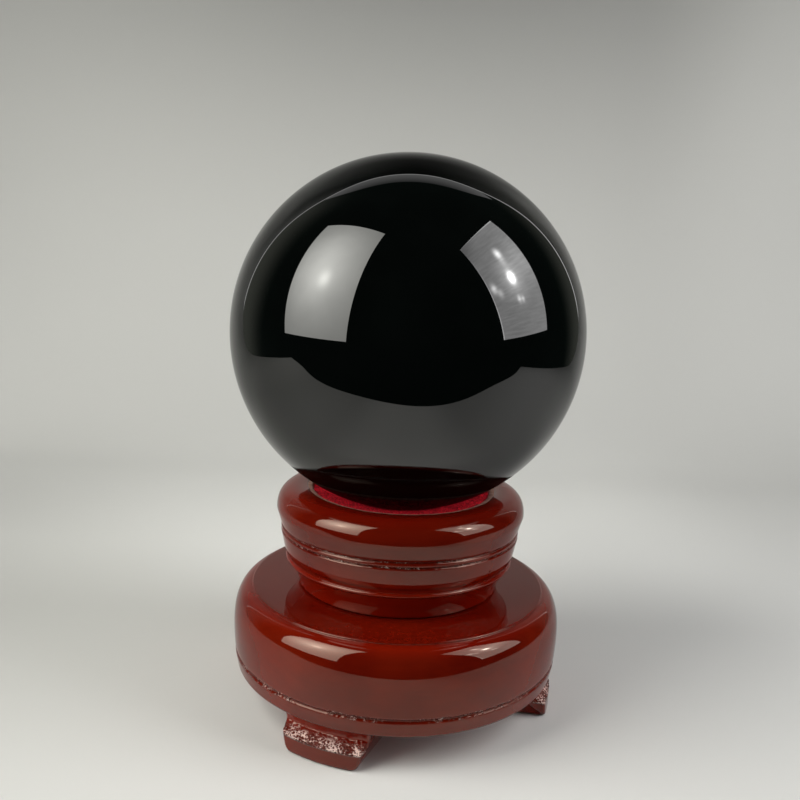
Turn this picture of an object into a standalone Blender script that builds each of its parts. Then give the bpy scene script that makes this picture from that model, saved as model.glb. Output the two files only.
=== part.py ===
"""A polished obsidian ball on a two-tier, turned and lacquered wooden stand.

Four pieces: the ball, the felt it lies on, the turned cup that holds the felt,
and the turned base with its four carved feet. Metres, +Z up, the origin on
the ground in the middle of the stand. Angles around the axis are measured
from the front (-Y) towards the right (+X).
"""
import math

import bmesh
import bpy

# Ball
BALL_DIAMETER = 0.100
BALL_SINK = 0.0051            # how far the ball lies below the cup's top

# Feet, cut from one turned ring
FOOT_HEIGHT = 0.0106          # ground to the underside of the base
FOOT_ANGLES = (-23.0, 82.0, 167.0, -108.0)
FOOT_BOTTOM_WIDTH = 0.0210
FOOT_TOP_WIDTH = 0.0262
FOOT_DEPTH = 0.0175           # from the outer face inwards
FOOT_INSET = 0.0009           # outer face behind the widest part of the base
FOOT_CORNER = 0.0020          # rounding of the lower corners
LIP_HEIGHT = 0.0050           # top of the foot's upright outer face
LIP_SLOPE_DEPTH = 0.0028      # sawn slope above the lip, measured inwards
LIP_SLOPE_RISE = 0.0023
FOOT_EMBED = 0.0012           # how far a foot runs up into the base

# Base, a thick turned disc
BASE_DIAMETER = 0.0965
BASE_HEIGHT = 0.0236          # underside to flat top
BASE_WIDEST_HEIGHT = 0.0122   # widest line above the underside
TOP_DISC_INSET = 0.0052       # edge of the flat top behind the widest line
TOP_STEP = 0.0004             # small upright step at that edge
TOP_STEP_ROUND = 0.0002
SIDE_TOP_SLOPE = 11.0         # fall of the swelling side where it starts, in degrees
SIDE_FULLNESS = 0.66          # how squarely the side swells; 0.55 is close to an ellipse
SIDE_EDGE_INSET = 0.00095     # lower edge behind the widest line
SIDE_EDGE_ROUND = 0.0009
BASE_GROOVE_HEIGHT = 0.0049   # above the underside
BASE_GROOVE_WIDTH = 0.0014
BASE_GROOVE_DEPTH = 0.0005

# Cup, turned as a second tier
CUP_DIAMETER = 0.0726
CUP_HEIGHT = 0.0283
CUP_FOOT_INSET = 0.00665      # foot of the cup behind its widest line
CUP_FOOT_ROUND = 0.0005
COVE_HEIGHT = 0.0072          # hollow side above the cup's foot
BEAD_INSET = 0.00285          # thin bead above the cove
BEAD_RADIUS = 0.00055
LOWER_BAND_HEIGHT = 0.0098    # underside of the lower band, above the foot
LOWER_BAND_INSET = 0.0021
LOWER_BAND_ROUND = 0.0020
CUP_GROOVE_HEIGHTS = (0.0161, 0.0176)
CUP_GROOVE_INSET = 0.0013     # surface of the cup at the grooves
CUP_GROOVE_WIDTH = 0.0008
CUP_GROOVE_DEPTH = 0.0005
SHOULDER_HEIGHT = 0.0059      # top of the cup down to its widest line
SHOULDER_WIDTH = 0.0063       # crest of the cup behind its widest line
SHOULDER_FULLNESS = 0.68      # how squarely the shoulder swells
RECESS_DIAMETER = 0.0518
RECESS_LIP_DROP = 0.0006      # fall from the crest to the mouth of the recess

# Felt
FELT_THICKNESS = 0.0010
FELT_EDGE_DROP = 0.0010       # felt's outer edge below the cup's top
FELT_SEAT_RADIUS = 0.0140     # inside it the felt follows the ball

# Fit
GAP = 0.0003                  # between pieces that touch

# Fineness
TURN_STEPS = 56
BALL_RINGS = 24
BALL_SIDES = 48

# Heights worked out from the sizes above
BASE_TOP = FOOT_HEIGHT + BASE_HEIGHT
CUP_BOTTOM = BASE_TOP + GAP
CUP_TOP = CUP_BOTTOM + CUP_HEIGHT
BALL_RADIUS = BALL_DIAMETER / 2
BALL_CENTRE = CUP_TOP - BALL_SINK + BALL_RADIUS
FOOT_RADIUS = BASE_DIAMETER / 2 - FOOT_INSET


def clear_objects():
    """Remove every object of the open file."""
    for thing in list(bpy.data.objects):
        bpy.data.objects.remove(thing, do_unlink=True)


def material(name, colour, roughness, metallic=0.0):
    """A plain Principled material."""
    made = bpy.data.materials.new(name)
    made.use_nodes = True
    shader = made.node_tree.nodes["Principled BSDF"]
    shader.inputs["Base Color"].default_value = (*colour, 1.0)
    shader.inputs["Roughness"].default_value = roughness
    shader.inputs["Metallic"].default_value = metallic
    made.diffuse_color = (*colour, 1.0)
    return made


def add_object(name, bm, surface=None, sharp_angle=30.0):
    """Put a finished bmesh into the scene as a named, smooth-shaded object."""
    mesh = bpy.data.meshes.new(name)
    bmesh.ops.recalc_face_normals(bm, faces=bm.faces)
    bm.to_mesh(mesh)
    bm.free()
    mesh.shade_smooth()
    mesh.set_sharp_from_angle(angle=math.radians(sharp_angle))
    if surface is not None:
        mesh.materials.append(surface)
    made = bpy.data.objects.new(name, mesh)
    bpy.context.scene.collection.objects.link(made)
    return made


def add_guide(name, bm):
    """A helper solid that only shapes another piece."""
    guide = add_object(name, bm)
    guide.hide_render = True
    guide.display_type = "WIRE"
    return guide


def boolean(target, operation, tool):
    """Keep an exact Boolean modifier on the target."""
    modifier = target.modifiers.new(operation.title(), "BOOLEAN")
    modifier.operation = operation
    modifier.solver = "EXACT"
    modifier.object = tool


def arc(centre, radii, start, end, steps):
    """Points of an ellipse's arc, angles in degrees from the outward direction."""
    points = []
    for step in range(steps + 1):
        turn = math.radians(start + (end - start) * step / steps)
        points.append((centre[0] + radii[0] * math.cos(turn),
                       centre[1] + radii[1] * math.sin(turn)))
    return points


def bulge(start, end, swell, steps):
    """Points from start to end on a shallow curve that swells outwards."""
    points = []
    for step in range(steps + 1):
        share = step / steps
        out = swell * 4 * share * (1 - share)
        points.append((start[0] + (end[0] - start[0]) * share + out,
                       start[1] + (end[1] - start[1]) * share))
    return points


def swell(start, end, slope, fullness, steps):
    """Points of a full curve that leaves start falling by the slope, in degrees, and is upright at end."""
    across = end[0] - start[0]
    fall = start[1] - end[1]
    turn = math.radians(slope)
    first = (start[0] + fullness * across * math.cos(turn), start[1] - fullness * across * math.sin(turn))
    second = (end[0], end[1] + fullness * fall)
    points = []
    for step in range(steps + 1):
        share = step / steps
        rest = 1 - share
        weights = (rest ** 3, 3 * rest ** 2 * share, 3 * rest * share ** 2, share ** 3)
        corners = (start, first, second, end)
        points.append(tuple(sum(weight * corner[axis] for weight, corner in zip(weights, corners))
                            for axis in range(2)))
    return points


def groove(radius, height, width, depth):
    """The three points of a V-shaped groove, from its upper edge down."""
    return [(radius, height + width / 2), (radius - depth, height), (radius, height - width / 2)]


def turned(profile):
    """Turn a profile of (radius, height) points, closed at the axis, into a solid."""
    bm = bmesh.new()
    verts = [bm.verts.new((radius, 0, height)) for radius, height in profile]
    edges = [bm.edges.new(pair) for pair in zip(verts, verts[1:])]
    if profile[0][0] > 0:
        edges.append(bm.edges.new((verts[-1], verts[0])))
    bmesh.ops.spin(bm, geom=verts + edges, cent=(0, 0, 0), axis=(0, 0, 1), dvec=(0, 0, 0),
                   angle=math.tau, steps=TURN_STEPS, use_merge=True)
    bmesh.ops.remove_doubles(bm, verts=bm.verts, dist=1e-6)
    return bm


def base_profile():
    """Outline of the base disc: flat top, small step, swelling side, groove, lower edge."""
    widest = BASE_DIAMETER / 2
    widest_height = FOOT_HEIGHT + BASE_WIDEST_HEIGHT
    disc_edge = widest - TOP_DISC_INSET
    groove_height = FOOT_HEIGHT + BASE_GROOVE_HEIGHT
    lower = widest - SIDE_EDGE_INSET
    fall = (widest_height - groove_height) / (widest_height - FOOT_HEIGHT)
    groove_radius = widest - SIDE_EDGE_INSET * fall ** 2
    rounding_centre = (disc_edge - TOP_STEP_ROUND, BASE_TOP - TOP_STEP_ROUND)
    points = [(0, BASE_TOP)]
    points += arc(rounding_centre, (TOP_STEP_ROUND, TOP_STEP_ROUND), 90, 0, 2)
    points += swell((disc_edge, BASE_TOP - TOP_STEP), (widest, widest_height),
                    SIDE_TOP_SLOPE, SIDE_FULLNESS, 7)
    halfway = (widest_height + groove_height) / 2
    points += [(widest - SIDE_EDGE_INSET * (fall / 2) ** 2, halfway)]
    points += groove(groove_radius, groove_height, BASE_GROOVE_WIDTH, BASE_GROOVE_DEPTH)
    edge_centre = (lower - SIDE_EDGE_ROUND, FOOT_HEIGHT + SIDE_EDGE_ROUND)
    points += arc(edge_centre, (SIDE_EDGE_ROUND, SIDE_EDGE_ROUND), 0, -90, 3)
    points += [(0, FOOT_HEIGHT)]
    return points


def foot_ring_profile():
    """Outline of the ring that the feet are cut from: lip, sawn slope and hollow neck."""
    inner = FOOT_RADIUS - FOOT_DEPTH
    slope_radius = FOOT_RADIUS - LIP_SLOPE_DEPTH
    slope_height = LIP_HEIGHT + LIP_SLOPE_RISE
    neck_top = BASE_DIAMETER / 2 - SIDE_EDGE_INSET - SIDE_EDGE_ROUND
    neck_rise = FOOT_HEIGHT - slope_height
    points = [(inner, FOOT_HEIGHT + FOOT_EMBED), (neck_top, FOOT_HEIGHT + FOOT_EMBED)]
    neck = arc((neck_top, slope_height), (neck_top - slope_radius, neck_rise), 90, 180, 4)
    points += neck
    points += [(FOOT_RADIUS - FOOT_CORNER / 4, LIP_HEIGHT), (FOOT_RADIUS, LIP_HEIGHT - FOOT_CORNER / 4)]
    points += arc((FOOT_RADIUS - FOOT_CORNER / 2, FOOT_CORNER / 2), (FOOT_CORNER / 2, FOOT_CORNER / 2),
                  0, -90, 2)
    points += [(inner, 0)]
    return points


def foot_block_outline():
    """Front outline of one foot: slanted sides, rounded lower corners."""
    top = FOOT_HEIGHT + 2 * FOOT_EMBED
    slant = (FOOT_TOP_WIDTH - FOOT_BOTTOM_WIDTH) / 2 / FOOT_HEIGHT
    top_half = FOOT_BOTTOM_WIDTH / 2 + slant * top
    corner = (FOOT_BOTTOM_WIDTH / 2 - FOOT_CORNER, FOOT_CORNER)
    right = [(top_half, top)]
    right += arc(corner, (FOOT_CORNER, FOOT_CORNER), 0, -90, 3)
    left = [(-across, height) for across, height in reversed(right)]
    return right + left


def foot_blocks():
    """Four slanted blocks, pointing outwards at the feet's angles."""
    bm = bmesh.new()
    outline = foot_block_outline()
    near = FOOT_RADIUS / 4
    far = FOOT_RADIUS * 1.2
    for angle in FOOT_ANGLES:
        turn = math.radians(angle)
        outward = (math.sin(turn), -math.cos(turn))
        across = (math.cos(turn), math.sin(turn))
        rings = []
        for distance in (near, far):
            rings.append([bm.verts.new((outward[0] * distance + across[0] * side,
                                        outward[1] * distance + across[1] * side,
                                        height)) for side, height in outline])
        count = len(outline)
        for index in range(count):
            following = (index + 1) % count
            bm.faces.new((rings[0][index], rings[0][following], rings[1][following], rings[1][index]))
        bm.faces.new(rings[0])
        bm.faces.new(list(reversed(rings[1])))
    return bm


def felt_height(radius, lowered=0.0):
    """Height of the felt's upper face: it follows the ball, then rises evenly to its edge."""
    def under_ball(distance):
        return BALL_CENTRE - math.sqrt(BALL_RADIUS ** 2 - distance ** 2) - GAP
    if radius <= FELT_SEAT_RADIUS:
        return under_ball(radius) - lowered
    edge = RECESS_DIAMETER / 2 - GAP
    share = (radius - FELT_SEAT_RADIUS) / (edge - FELT_SEAT_RADIUS)
    seat = under_ball(FELT_SEAT_RADIUS)
    return seat + (CUP_TOP - FELT_EDGE_DROP - seat) * share - lowered


def felt_radii():
    """Radii at which the felt and the floor under it have a point, from the axis outwards."""
    edge = RECESS_DIAMETER / 2 - GAP
    inner = [FELT_SEAT_RADIUS * step / 3 for step in range(4)]
    return inner + [edge]


def felt_profile():
    """Outline of the felt: its upper face out to the edge, and its lower face back."""
    radii = felt_radii()
    upper = [(radius, felt_height(radius)) for radius in radii]
    lower = [(radius, felt_height(radius, FELT_THICKNESS)) for radius in reversed(radii)]
    return upper + lower


def cup_profile():
    """Outline of the cup: dished recess, lip, shoulder, grooves, band, bead and cove."""
    widest = CUP_DIAMETER / 2
    crest = widest - SHOULDER_WIDTH
    mouth = RECESS_DIAMETER / 2
    floor_drop = FELT_THICKNESS + GAP
    floor = [(radius, felt_height(radius, floor_drop)) for radius in felt_radii()[:-1]]
    corner = (mouth, felt_height(mouth - GAP, floor_drop))
    lip = arc((crest, CUP_TOP - RECESS_LIP_DROP), (crest - mouth, RECESS_LIP_DROP), 180, 90, 3)
    shoulder = swell((crest, CUP_TOP), (widest, CUP_TOP - SHOULDER_HEIGHT), 0.0, SHOULDER_FULLNESS, 7)
    at_grooves = widest - CUP_GROOVE_INSET
    lower_groove, upper_groove = (CUP_BOTTOM + height for height in CUP_GROOVE_HEIGHTS)
    grooves = groove(at_grooves, upper_groove, CUP_GROOVE_WIDTH, CUP_GROOVE_DEPTH)
    grooves += groove(at_grooves, lower_groove, CUP_GROOVE_WIDTH, CUP_GROOVE_DEPTH)
    band_radius = widest - LOWER_BAND_INSET
    band_bottom = CUP_BOTTOM + LOWER_BAND_HEIGHT
    bead_radius = widest - BEAD_INSET - BEAD_RADIUS
    bead_height = CUP_BOTTOM + COVE_HEIGHT + BEAD_RADIUS
    round_width = band_radius - bead_radius
    band_under = arc((bead_radius, band_bottom + LOWER_BAND_ROUND), (round_width, LOWER_BAND_ROUND),
                     0, -90, 3)
    bead = arc((bead_radius, bead_height), (BEAD_RADIUS, BEAD_RADIUS), 90, -90, 4)
    foot = widest - CUP_FOOT_INSET
    cove = bulge((bead_radius, bead_height - BEAD_RADIUS), (foot, CUP_BOTTOM + CUP_FOOT_ROUND),
                 -CUP_FOOT_ROUND, 3)
    return (floor + [corner] + lip + shoulder[1:] + grooves + band_under + bead + cove[1:]
            + [(foot - CUP_FOOT_ROUND, CUP_BOTTOM), (0, CUP_BOTTOM)])


def build_ball(surface):
    """The ball, resting in the felt."""
    bm = bmesh.new()
    bmesh.ops.create_uvsphere(bm, u_segments=BALL_SIDES, v_segments=BALL_RINGS, radius=BALL_RADIUS)
    ball = add_object("ball", bm, surface, sharp_angle=180.0)
    ball.location = (0, 0, BALL_CENTRE)
    return ball


def build_base(surface):
    """The turned disc, joined to the feet that are cut from its ring."""
    ring = add_guide("foot_ring_guide", turned(foot_ring_profile()))
    blocks = add_guide("foot_block_guide", foot_blocks())
    boolean(ring, "INTERSECT", blocks)
    base = add_object("base", turned(base_profile()), surface)
    boolean(base, "UNION", ring)
    return base


def main():
    """Build the four pieces."""
    clear_objects()
    obsidian = material("polished_obsidian", (0.004, 0.004, 0.005), 0.04)
    lacquer = material("lacquered_wood", (0.16, 0.022, 0.008), 0.16)
    felt = material("red_felt", (0.35, 0.008, 0.018), 0.95)
    build_base(lacquer)
    add_object("cup", turned(cup_profile()), lacquer)
    add_object("seat_felt", turned(felt_profile()), felt)
    build_ball(obsidian)


main()
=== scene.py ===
import math

import bpy
import numpy as np
from bpy.props import FloatProperty, FloatVectorProperty, IntProperty, PointerProperty
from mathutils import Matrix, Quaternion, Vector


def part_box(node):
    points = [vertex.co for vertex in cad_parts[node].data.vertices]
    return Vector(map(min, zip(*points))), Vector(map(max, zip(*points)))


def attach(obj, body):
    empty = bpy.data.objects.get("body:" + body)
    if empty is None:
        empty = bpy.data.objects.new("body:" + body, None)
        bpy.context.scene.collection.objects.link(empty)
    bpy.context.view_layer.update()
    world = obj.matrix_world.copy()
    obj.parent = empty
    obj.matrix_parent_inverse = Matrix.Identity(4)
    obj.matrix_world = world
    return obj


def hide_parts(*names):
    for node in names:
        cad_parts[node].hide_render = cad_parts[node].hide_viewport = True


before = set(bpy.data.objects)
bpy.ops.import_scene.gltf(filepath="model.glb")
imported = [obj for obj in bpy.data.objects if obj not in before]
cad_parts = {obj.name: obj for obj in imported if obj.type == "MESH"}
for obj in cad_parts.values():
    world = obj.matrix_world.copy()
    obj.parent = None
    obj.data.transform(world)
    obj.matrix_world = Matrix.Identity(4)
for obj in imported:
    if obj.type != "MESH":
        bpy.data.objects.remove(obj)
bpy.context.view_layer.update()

bl_info = {
    "name": "Obsidian ball on a turned stand",
    "version": (1, 0, 0),
    "blender": (4, 5, 0),
    "location": "View3D > Sidebar > Ball stand",
    "description": "Builds a polished obsidian ball, its felt seat and its lacquered turned stand",
    "category": "Add Mesh",
}

# Places taken from the frame, in metres; angles run from the front (-Y) towards the right (+X)
BALL_LOW, BALL_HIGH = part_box("ball")
FELT_LOW, FELT_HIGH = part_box("seat_felt")
CUP_LOW, CUP_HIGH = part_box("cup")
BASE_LOW, BASE_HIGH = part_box("base")
BALL_RADIUS = (BALL_HIGH[0] - BALL_LOW[0]) / 2
BALL_CENTRE = (BALL_HIGH[2] + BALL_LOW[2]) / 2
FELT_RADIUS = (FELT_HIGH[0] - FELT_LOW[0]) / 2
CUP_RADIUS = (CUP_HIGH[0] - CUP_LOW[0]) / 2
CUP_BOTTOM = CUP_LOW[2]
CUP_TOP = CUP_HIGH[2]
BASE_RADIUS = (BASE_HIGH[0] - BASE_LOW[0]) / 2
BASE_TOP = BASE_HIGH[2]

MM = 0.001


def length(name, description, default):
    """A length in metres that a user may change."""
    return FloatProperty(name=name, description=description, default=default, min=0.0,
                         precision=5, subtype="DISTANCE", unit="LENGTH")


def share(name, description, default):
    """A plain number from 0 to 1."""
    return FloatProperty(name=name, description=description, default=default, min=0.0, max=1.0)


def amount(name, description, default, low=0.0):
    """A plain number with no upper limit."""
    return FloatProperty(name=name, description=description, default=default, min=low)


def tilt(name, description, degrees):
    """An angle, given in degrees and kept in radians."""
    return FloatProperty(name=name, description=description, default=math.radians(degrees),
                         subtype="ANGLE", unit="ROTATION")


def colour(name, description, default):
    """A linear RGB colour."""
    return FloatVectorProperty(name=name, description=description, default=default, size=3,
                               min=0.0, max=1.0, subtype="COLOR")


def place(name, description, default):
    """A point in metres."""
    return FloatVectorProperty(name=name, description=description, default=default, size=3,
                               subtype="TRANSLATION", unit="LENGTH")


# Sizes and colours that a user may change

class BallSettings(bpy.types.PropertyGroup):
    """The polished ball."""
    sides: IntProperty(name="Sides", description="Columns round the ball", default=224, min=16)
    rings: IntProperty(name="Rings", description="Rows from pole to pole", default=128, min=8)
    glass: colour("Glass", "Body colour of the obsidian", (0.0008, 0.0010, 0.0009))
    polish: share("Polish", "Roughness of the polished face", 0.010)
    gloss_index: amount("Gloss index", "Index of refraction of the polished face", 1.66, 1.0)
    # Painted shade: low on the ball's front and back a dark matt shader takes over from the polish
    painted_shade_start: length("Dull start", "Height above its foot where the front begins to mirror less", 21.9 * MM)
    painted_shade_end: length("Dull end", "Height above its foot where the front mirrors least", 21.0 * MM)
    painted_shade_share: share("Dull share", "How much of the mirroring is lost there", 0.84)
    painted_shade_bend: amount("Dull bend", "How fast the dull zone narrows to both sides, per metre", 8.2)
    dust: colour("Dust", "Colour of the few dust specks", (0.30, 0.29, 0.27))
    dust_share: share("Dust share", "How many cells of the speck pattern hold a speck", 0.025)


class FeltSettings(bpy.types.PropertyGroup):
    """The felt in the cup."""
    thickness: length("Thickness", "Thickness of the felt", 1.0 * MM)
    seat_radius: length("Seat radius", "Inside this the felt follows the ball", 14.0 * MM)
    edge_drop: length("Edge drop", "Felt's edge below the cup's top", 1.0 * MM)
    ball_gap: length("Ball gap", "Gap between ball and felt", 0.3 * MM)
    nap: length("Nap", "Length of a fibre", 0.65 * MM)
    fibres: IntProperty(name="Fibres", description="Number of fibres that stand up", default=15000, min=0)
    deep: colour("Deep red", "Colour between the fibres", (0.11, 0.001, 0.003))
    bright: colour("Bright red", "Colour of the fibre tips", (1.0, 0.028, 0.055))
    # Painted light: the felt glows in its own red though it is no lamp
    painted_glow: share("Inner glow", "Light that the pile passes on from fibre to fibre", 0.14)


class LacquerSettings(bpy.types.PropertyGroup):
    """Stained wood under a clear gloss lacquer."""
    stain: colour("Stain", "Main colour of the stained wood", (0.170, 0.0046, 0.0009))
    stain_light: colour("Light grain", "Colour between the darker growth lines", (0.240, 0.0150, 0.0020))
    stain_side: colour("End grain", "Stain on the turned sides, which take more of it",
                       (0.086, 0.0029, 0.0006))
    # Dark stain, used too as painted shade in hollows and as a painted shadow line at the felt's edge
    dark_stain_and_shade: colour("Pooled stain", "Stain gathered in grooves and torn grain", (0.030, 0.0013, 0.0004))
    bare_wood: colour("Bare wood", "Uncoated edge at the felt", (0.60, 0.33, 0.25))
    # Painted glint: pale pink on the crests of torn grain, where the lacquer would mirror the lamps
    painted_glint: colour("Fleck", "Crests of torn grain, where the lacquer is scuffed pale", (1.0, 0.74, 0.68))
    gloss_tint: colour("Gloss tint", "Tint of what the amber lacquer mirrors", (1.0, 0.80, 0.66))
    gloss_index: amount("Gloss index", "Index of refraction of the lacquer", 1.58, 1.0)
    gloss: share("Gloss", "Roughness of the lacquer", 0.030)
    torn_gloss: share("Torn gloss", "Roughness where the grain is torn", 0.14)


class CupSettings(bpy.types.PropertyGroup):
    """The upper, turned tier."""
    recess_radius: length("Recess radius", "Radius of the felt's recess", 25.9 * MM)
    lip_drop: length("Lip drop", "Fall from the crest to the mouth of the recess", 0.6 * MM)
    bare_edge: length("Bare edge", "Width of the uncoated edge at the mouth of the recess", 1.6 * MM)
    shoulder_width: length("Shoulder width", "Crest of the cup behind its widest line", 6.3 * MM)
    shoulder_height: length("Shoulder height", "Fall of the rounded shoulder", 5.9 * MM)
    shoulder_fullness: share("Shoulder fullness", "How squarely the shoulder swells", 0.68)
    groove_low: length("Lower groove", "Height of the lower groove above the cup's foot", 16.1 * MM)
    groove_high: length("Upper groove", "Height of the upper groove above the cup's foot", 17.6 * MM)
    groove_inset: length("Groove inset", "Surface at the grooves behind the widest line", 1.3 * MM)
    groove_width: length("Groove width", "Width of a groove", 0.8 * MM)
    groove_depth: length("Groove depth", "Depth of a groove", 0.5 * MM)
    band_height: length("Band height", "Lower end of the band's wall above the foot", 9.8 * MM)
    band_inset: length("Band inset", "Lower band behind the widest line", 2.1 * MM)
    band_round: length("Band rounding", "Rounding under the lower band", 2.0 * MM)
    bead_inset: length("Bead inset", "Bead behind the widest line", 2.85 * MM)
    bead_radius: length("Bead radius", "Radius of the thin bead", 0.55 * MM)
    cove_height: length("Cove height", "Height of the hollow side", 7.2 * MM)
    foot_inset: length("Foot inset", "Foot of the cup behind the widest line", 6.65 * MM)
    foot_round: length("Foot rounding", "Rounding of the cup's foot", 0.5 * MM)


class BaseSettings(bpy.types.PropertyGroup):
    """The lower, turned tier with its feet."""
    foot_height: length("Foot height", "Ground to the underside of the base", 10.6 * MM)
    widest_height: length("Widest height", "Widest line above the underside", 12.2 * MM)
    disc_inset: length("Disc inset", "Edge of the flat top behind the widest line", 5.2 * MM)
    step: length("Step", "Small step at that edge", 0.6 * MM)
    side_slope: tilt("Side slope", "Fall of the swelling side where it starts", 11.0)
    side_fullness: share("Side fullness", "How squarely the side swells", 0.66)
    edge_inset: length("Edge inset", "Lower edge behind the widest line", 0.95 * MM)
    edge_round: length("Edge rounding", "Rounding of the lower edge", 0.9 * MM)
    groove_height: length("Groove height", "Groove above the underside", 4.9 * MM)
    groove_width: length("Groove width", "Width of the groove", 1.4 * MM)
    groove_depth: length("Groove depth", "Depth of the groove", 0.5 * MM)
    foot_inset: length("Foot inset", "Outer face of a foot behind the widest line", 0.9 * MM)
    foot_depth: length("Foot depth", "Depth of a foot towards the axis", 17.5 * MM)
    foot_bottom: length("Foot bottom", "Width of a foot at the ground", 21.0 * MM)
    foot_top: length("Foot top", "Width of a foot under the base", 26.2 * MM)
    foot_corner: length("Foot corner", "Rounding of a foot's lower corners", 2.0 * MM)
    lip_height: length("Lip height", "Top of a foot's outer face", 5.0 * MM)
    slope_depth: length("Slope depth", "Sawn slope above the lip, inwards", 2.8 * MM)
    slope_rise: length("Slope rise", "Rise of the sawn slope", 2.3 * MM)
    foot_soft: length("Foot softening", "Easing of a foot's edges", 0.7 * MM)


class StageSettings(bpy.types.PropertyGroup):
    """Floor, backdrop, light panels and camera."""
    floor: colour("Floor", "Colour of the pale floor and backdrop", (0.71, 0.705, 0.688))
    # Painted light: the lighter paper colour is painted where more light falls
    painted_light_floor: colour("Lighter floor", "Floor behind the work and backdrop to the right",
                        (0.83, 0.825, 0.805))
    # Painted shade in the reflections: the copy of the paper that the gloss sees is darker to both sides
    beside: share("Beside", "How much darker the gloss sees the floor and backdrop to both sides", 0.32)
    room: colour("Room", "What the gloss sees where there is no floor or backdrop",
                 (0.008, 0.014, 0.012))
    surround: colour("Surround", "What only the camera sees past the floor", (0.46, 0.455, 0.44))
    left_power: amount("Left light", "Radiance of the left panel's edge", 3.0)
    right_power: amount("Right light", "Radiance of the right panel's edge", 2.2)
    left_matt: amount("Left matt light", "Radiance that matt faces get from the left", 5.15)
    right_matt: amount("Right matt light", "Radiance that matt faces get from the right", 4.5)
    rim_power: amount("Rim light", "Radiance of the backdrop's bright edge", 1.55)
    board_power: amount("Board light", "Radiance at the foot of the board above the backdrop", 0.68)
    camera: place("Camera", "Place of the camera", (0.0, -0.2359, 0.1313))
    turn: tilt("Turn", "Heading of the view to the right of +Y", -0.35)
    dip: tilt("Dip", "Angle of the view below the horizon", 10.31)
    lean: tilt("Lean", "Lean of the camera anticlockwise", 2.40)
    lens: amount("Lens", "Focal length in millimetres on a 36 mm sensor", 37.13, 1.0)


FOOT_ANGLES = tuple(math.radians(angle) for angle in (-23.0, 82.0, 167.0, -108.0))


# Outlines, as arrays of (radius, height)

def arc(centre, radii, start, end, count):
    """Ellipse's arc: centre plus radii times cosine and sine of evenly spaced angles in degrees."""
    turn = np.radians(np.linspace(start, end, count))
    return np.stack([centre[0] + radii[0] * np.cos(turn), centre[1] + radii[1] * np.sin(turn)], axis=1)


def swelling(start, end, slope, fullness, count):
    """Cubic curve between two points that leaves start falling by the slope and is upright at end.
    Its two handles are the fullness times the distance across and the fall."""
    start, end = np.array(start), np.array(end)
    across, fall = end[0] - start[0], start[1] - end[1]
    first = start + fullness * across * np.array([math.cos(slope), -math.sin(slope)])
    second = end + np.array([0, fullness * fall])
    t = np.linspace(0, 1, count)[:, None]
    return (1 - t) ** 3 * start + 3 * (1 - t) ** 2 * t * first + 3 * (1 - t) * t * t * second + t ** 3 * end


def corner_curve(start, corner, end, count):
    """Quadratic curve from start to end that leaves and arrives along the lines to the corner."""
    t = np.linspace(0, 1, count)[:, None]
    return (1 - t) ** 2 * np.array(start) + 2 * t * (1 - t) * np.array(corner) + t * t * np.array(end)


def eased(points, fillets, count=5):
    """Corner points with each corner eased: a quadratic curve that leaves and meets the
    straight sides at the fillet's distance from the corner."""
    points = np.asarray(points, float)
    parts = [points[:1]]
    for before, corner, after, fillet in zip(points, points[1:], points[2:], fillets):
        if fillet <= 0:
            parts.append(corner[None])
            continue
        reach_in = min(fillet, np.linalg.norm(before - corner) * 0.49)
        reach_out = min(fillet, np.linalg.norm(after - corner) * 0.49)
        start = corner + (before - corner) / np.linalg.norm(before - corner) * reach_in
        end = corner + (after - corner) / np.linalg.norm(after - corner) * reach_out
        parts.append(corner_curve(start, corner, end, count))
    parts.append(points[-1:])
    return np.concatenate(parts)


def joined(*parts):
    """Several stretches of outline as one, without points closer than a hundredth of a millimetre."""
    line = np.concatenate([np.asarray(part, float) for part in parts])
    gaps = np.linalg.norm(np.diff(line, axis=0), axis=1)
    return line[np.concatenate([[True], gaps > 0.01 * MM])]


def refined(line, spacing):
    """The outline with further points on its longer sides, none more than the spacing apart."""
    along = np.concatenate([[0], np.cumsum(np.linalg.norm(np.diff(line, axis=0), axis=1))])
    extra = [np.linspace(a, b, max(2, math.ceil((b - a) / spacing) + 1))[:-1]
             for a, b in zip(along, along[1:])]
    at = np.concatenate(extra + [along[-1:]])
    return np.stack([np.interp(at, along, line[:, 0]), np.interp(at, along, line[:, 1])], axis=1)


def groove(radius, height, width, depth):
    """Corner points of a V groove from its upper edge down."""
    return [(radius, height + width / 2), (radius - depth, height), (radius, height - width / 2)]


# Surfaces, as arrays of columns by rows by (x, y, z)

def turned(line, columns):
    """Outline turned round the axis: x is r sin a, y is -r cos a, z is the height."""
    angle = np.linspace(0, math.tau, columns, endpoint=False)[:, None]
    radius, height = line[:, 0][None], line[:, 1][None]
    return np.stack([radius * np.sin(angle), -radius * np.cos(angle),
                     height + 0 * angle], axis=2)


def outward(grid):
    """Unit normals: the cross product of the steps down the rows and along the columns."""
    down = np.gradient(grid, axis=1)
    along = np.roll(grid, -1, axis=0) - np.roll(grid, 1, axis=0)
    normal = np.cross(down, along)
    size = np.linalg.norm(normal, axis=2, keepdims=True)
    return normal / np.maximum(size, 1e-12)


def value_noise(points, cell, seed):
    """Smooth noise from -1 to 1: random numbers on a lattice of cubes, blended with
    3t^2 - 2t^3 along each axis."""
    side = 32
    table = np.random.default_rng(seed).uniform(-1, 1, (side, side, side))
    scaled = points / cell
    low = np.floor(scaled).astype(int)
    part = scaled - low
    part = part * part * (3 - 2 * part)
    total = 0
    for corner in range(8):
        offset = np.array([corner & 1, corner >> 1 & 1, corner >> 2 & 1])
        index = (low + offset) % side
        weight = np.prod(np.where(offset == 1, part, 1 - part), axis=-1)
        total = total + weight * table[index[..., 0], index[..., 1], index[..., 2]]
    return total


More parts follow.
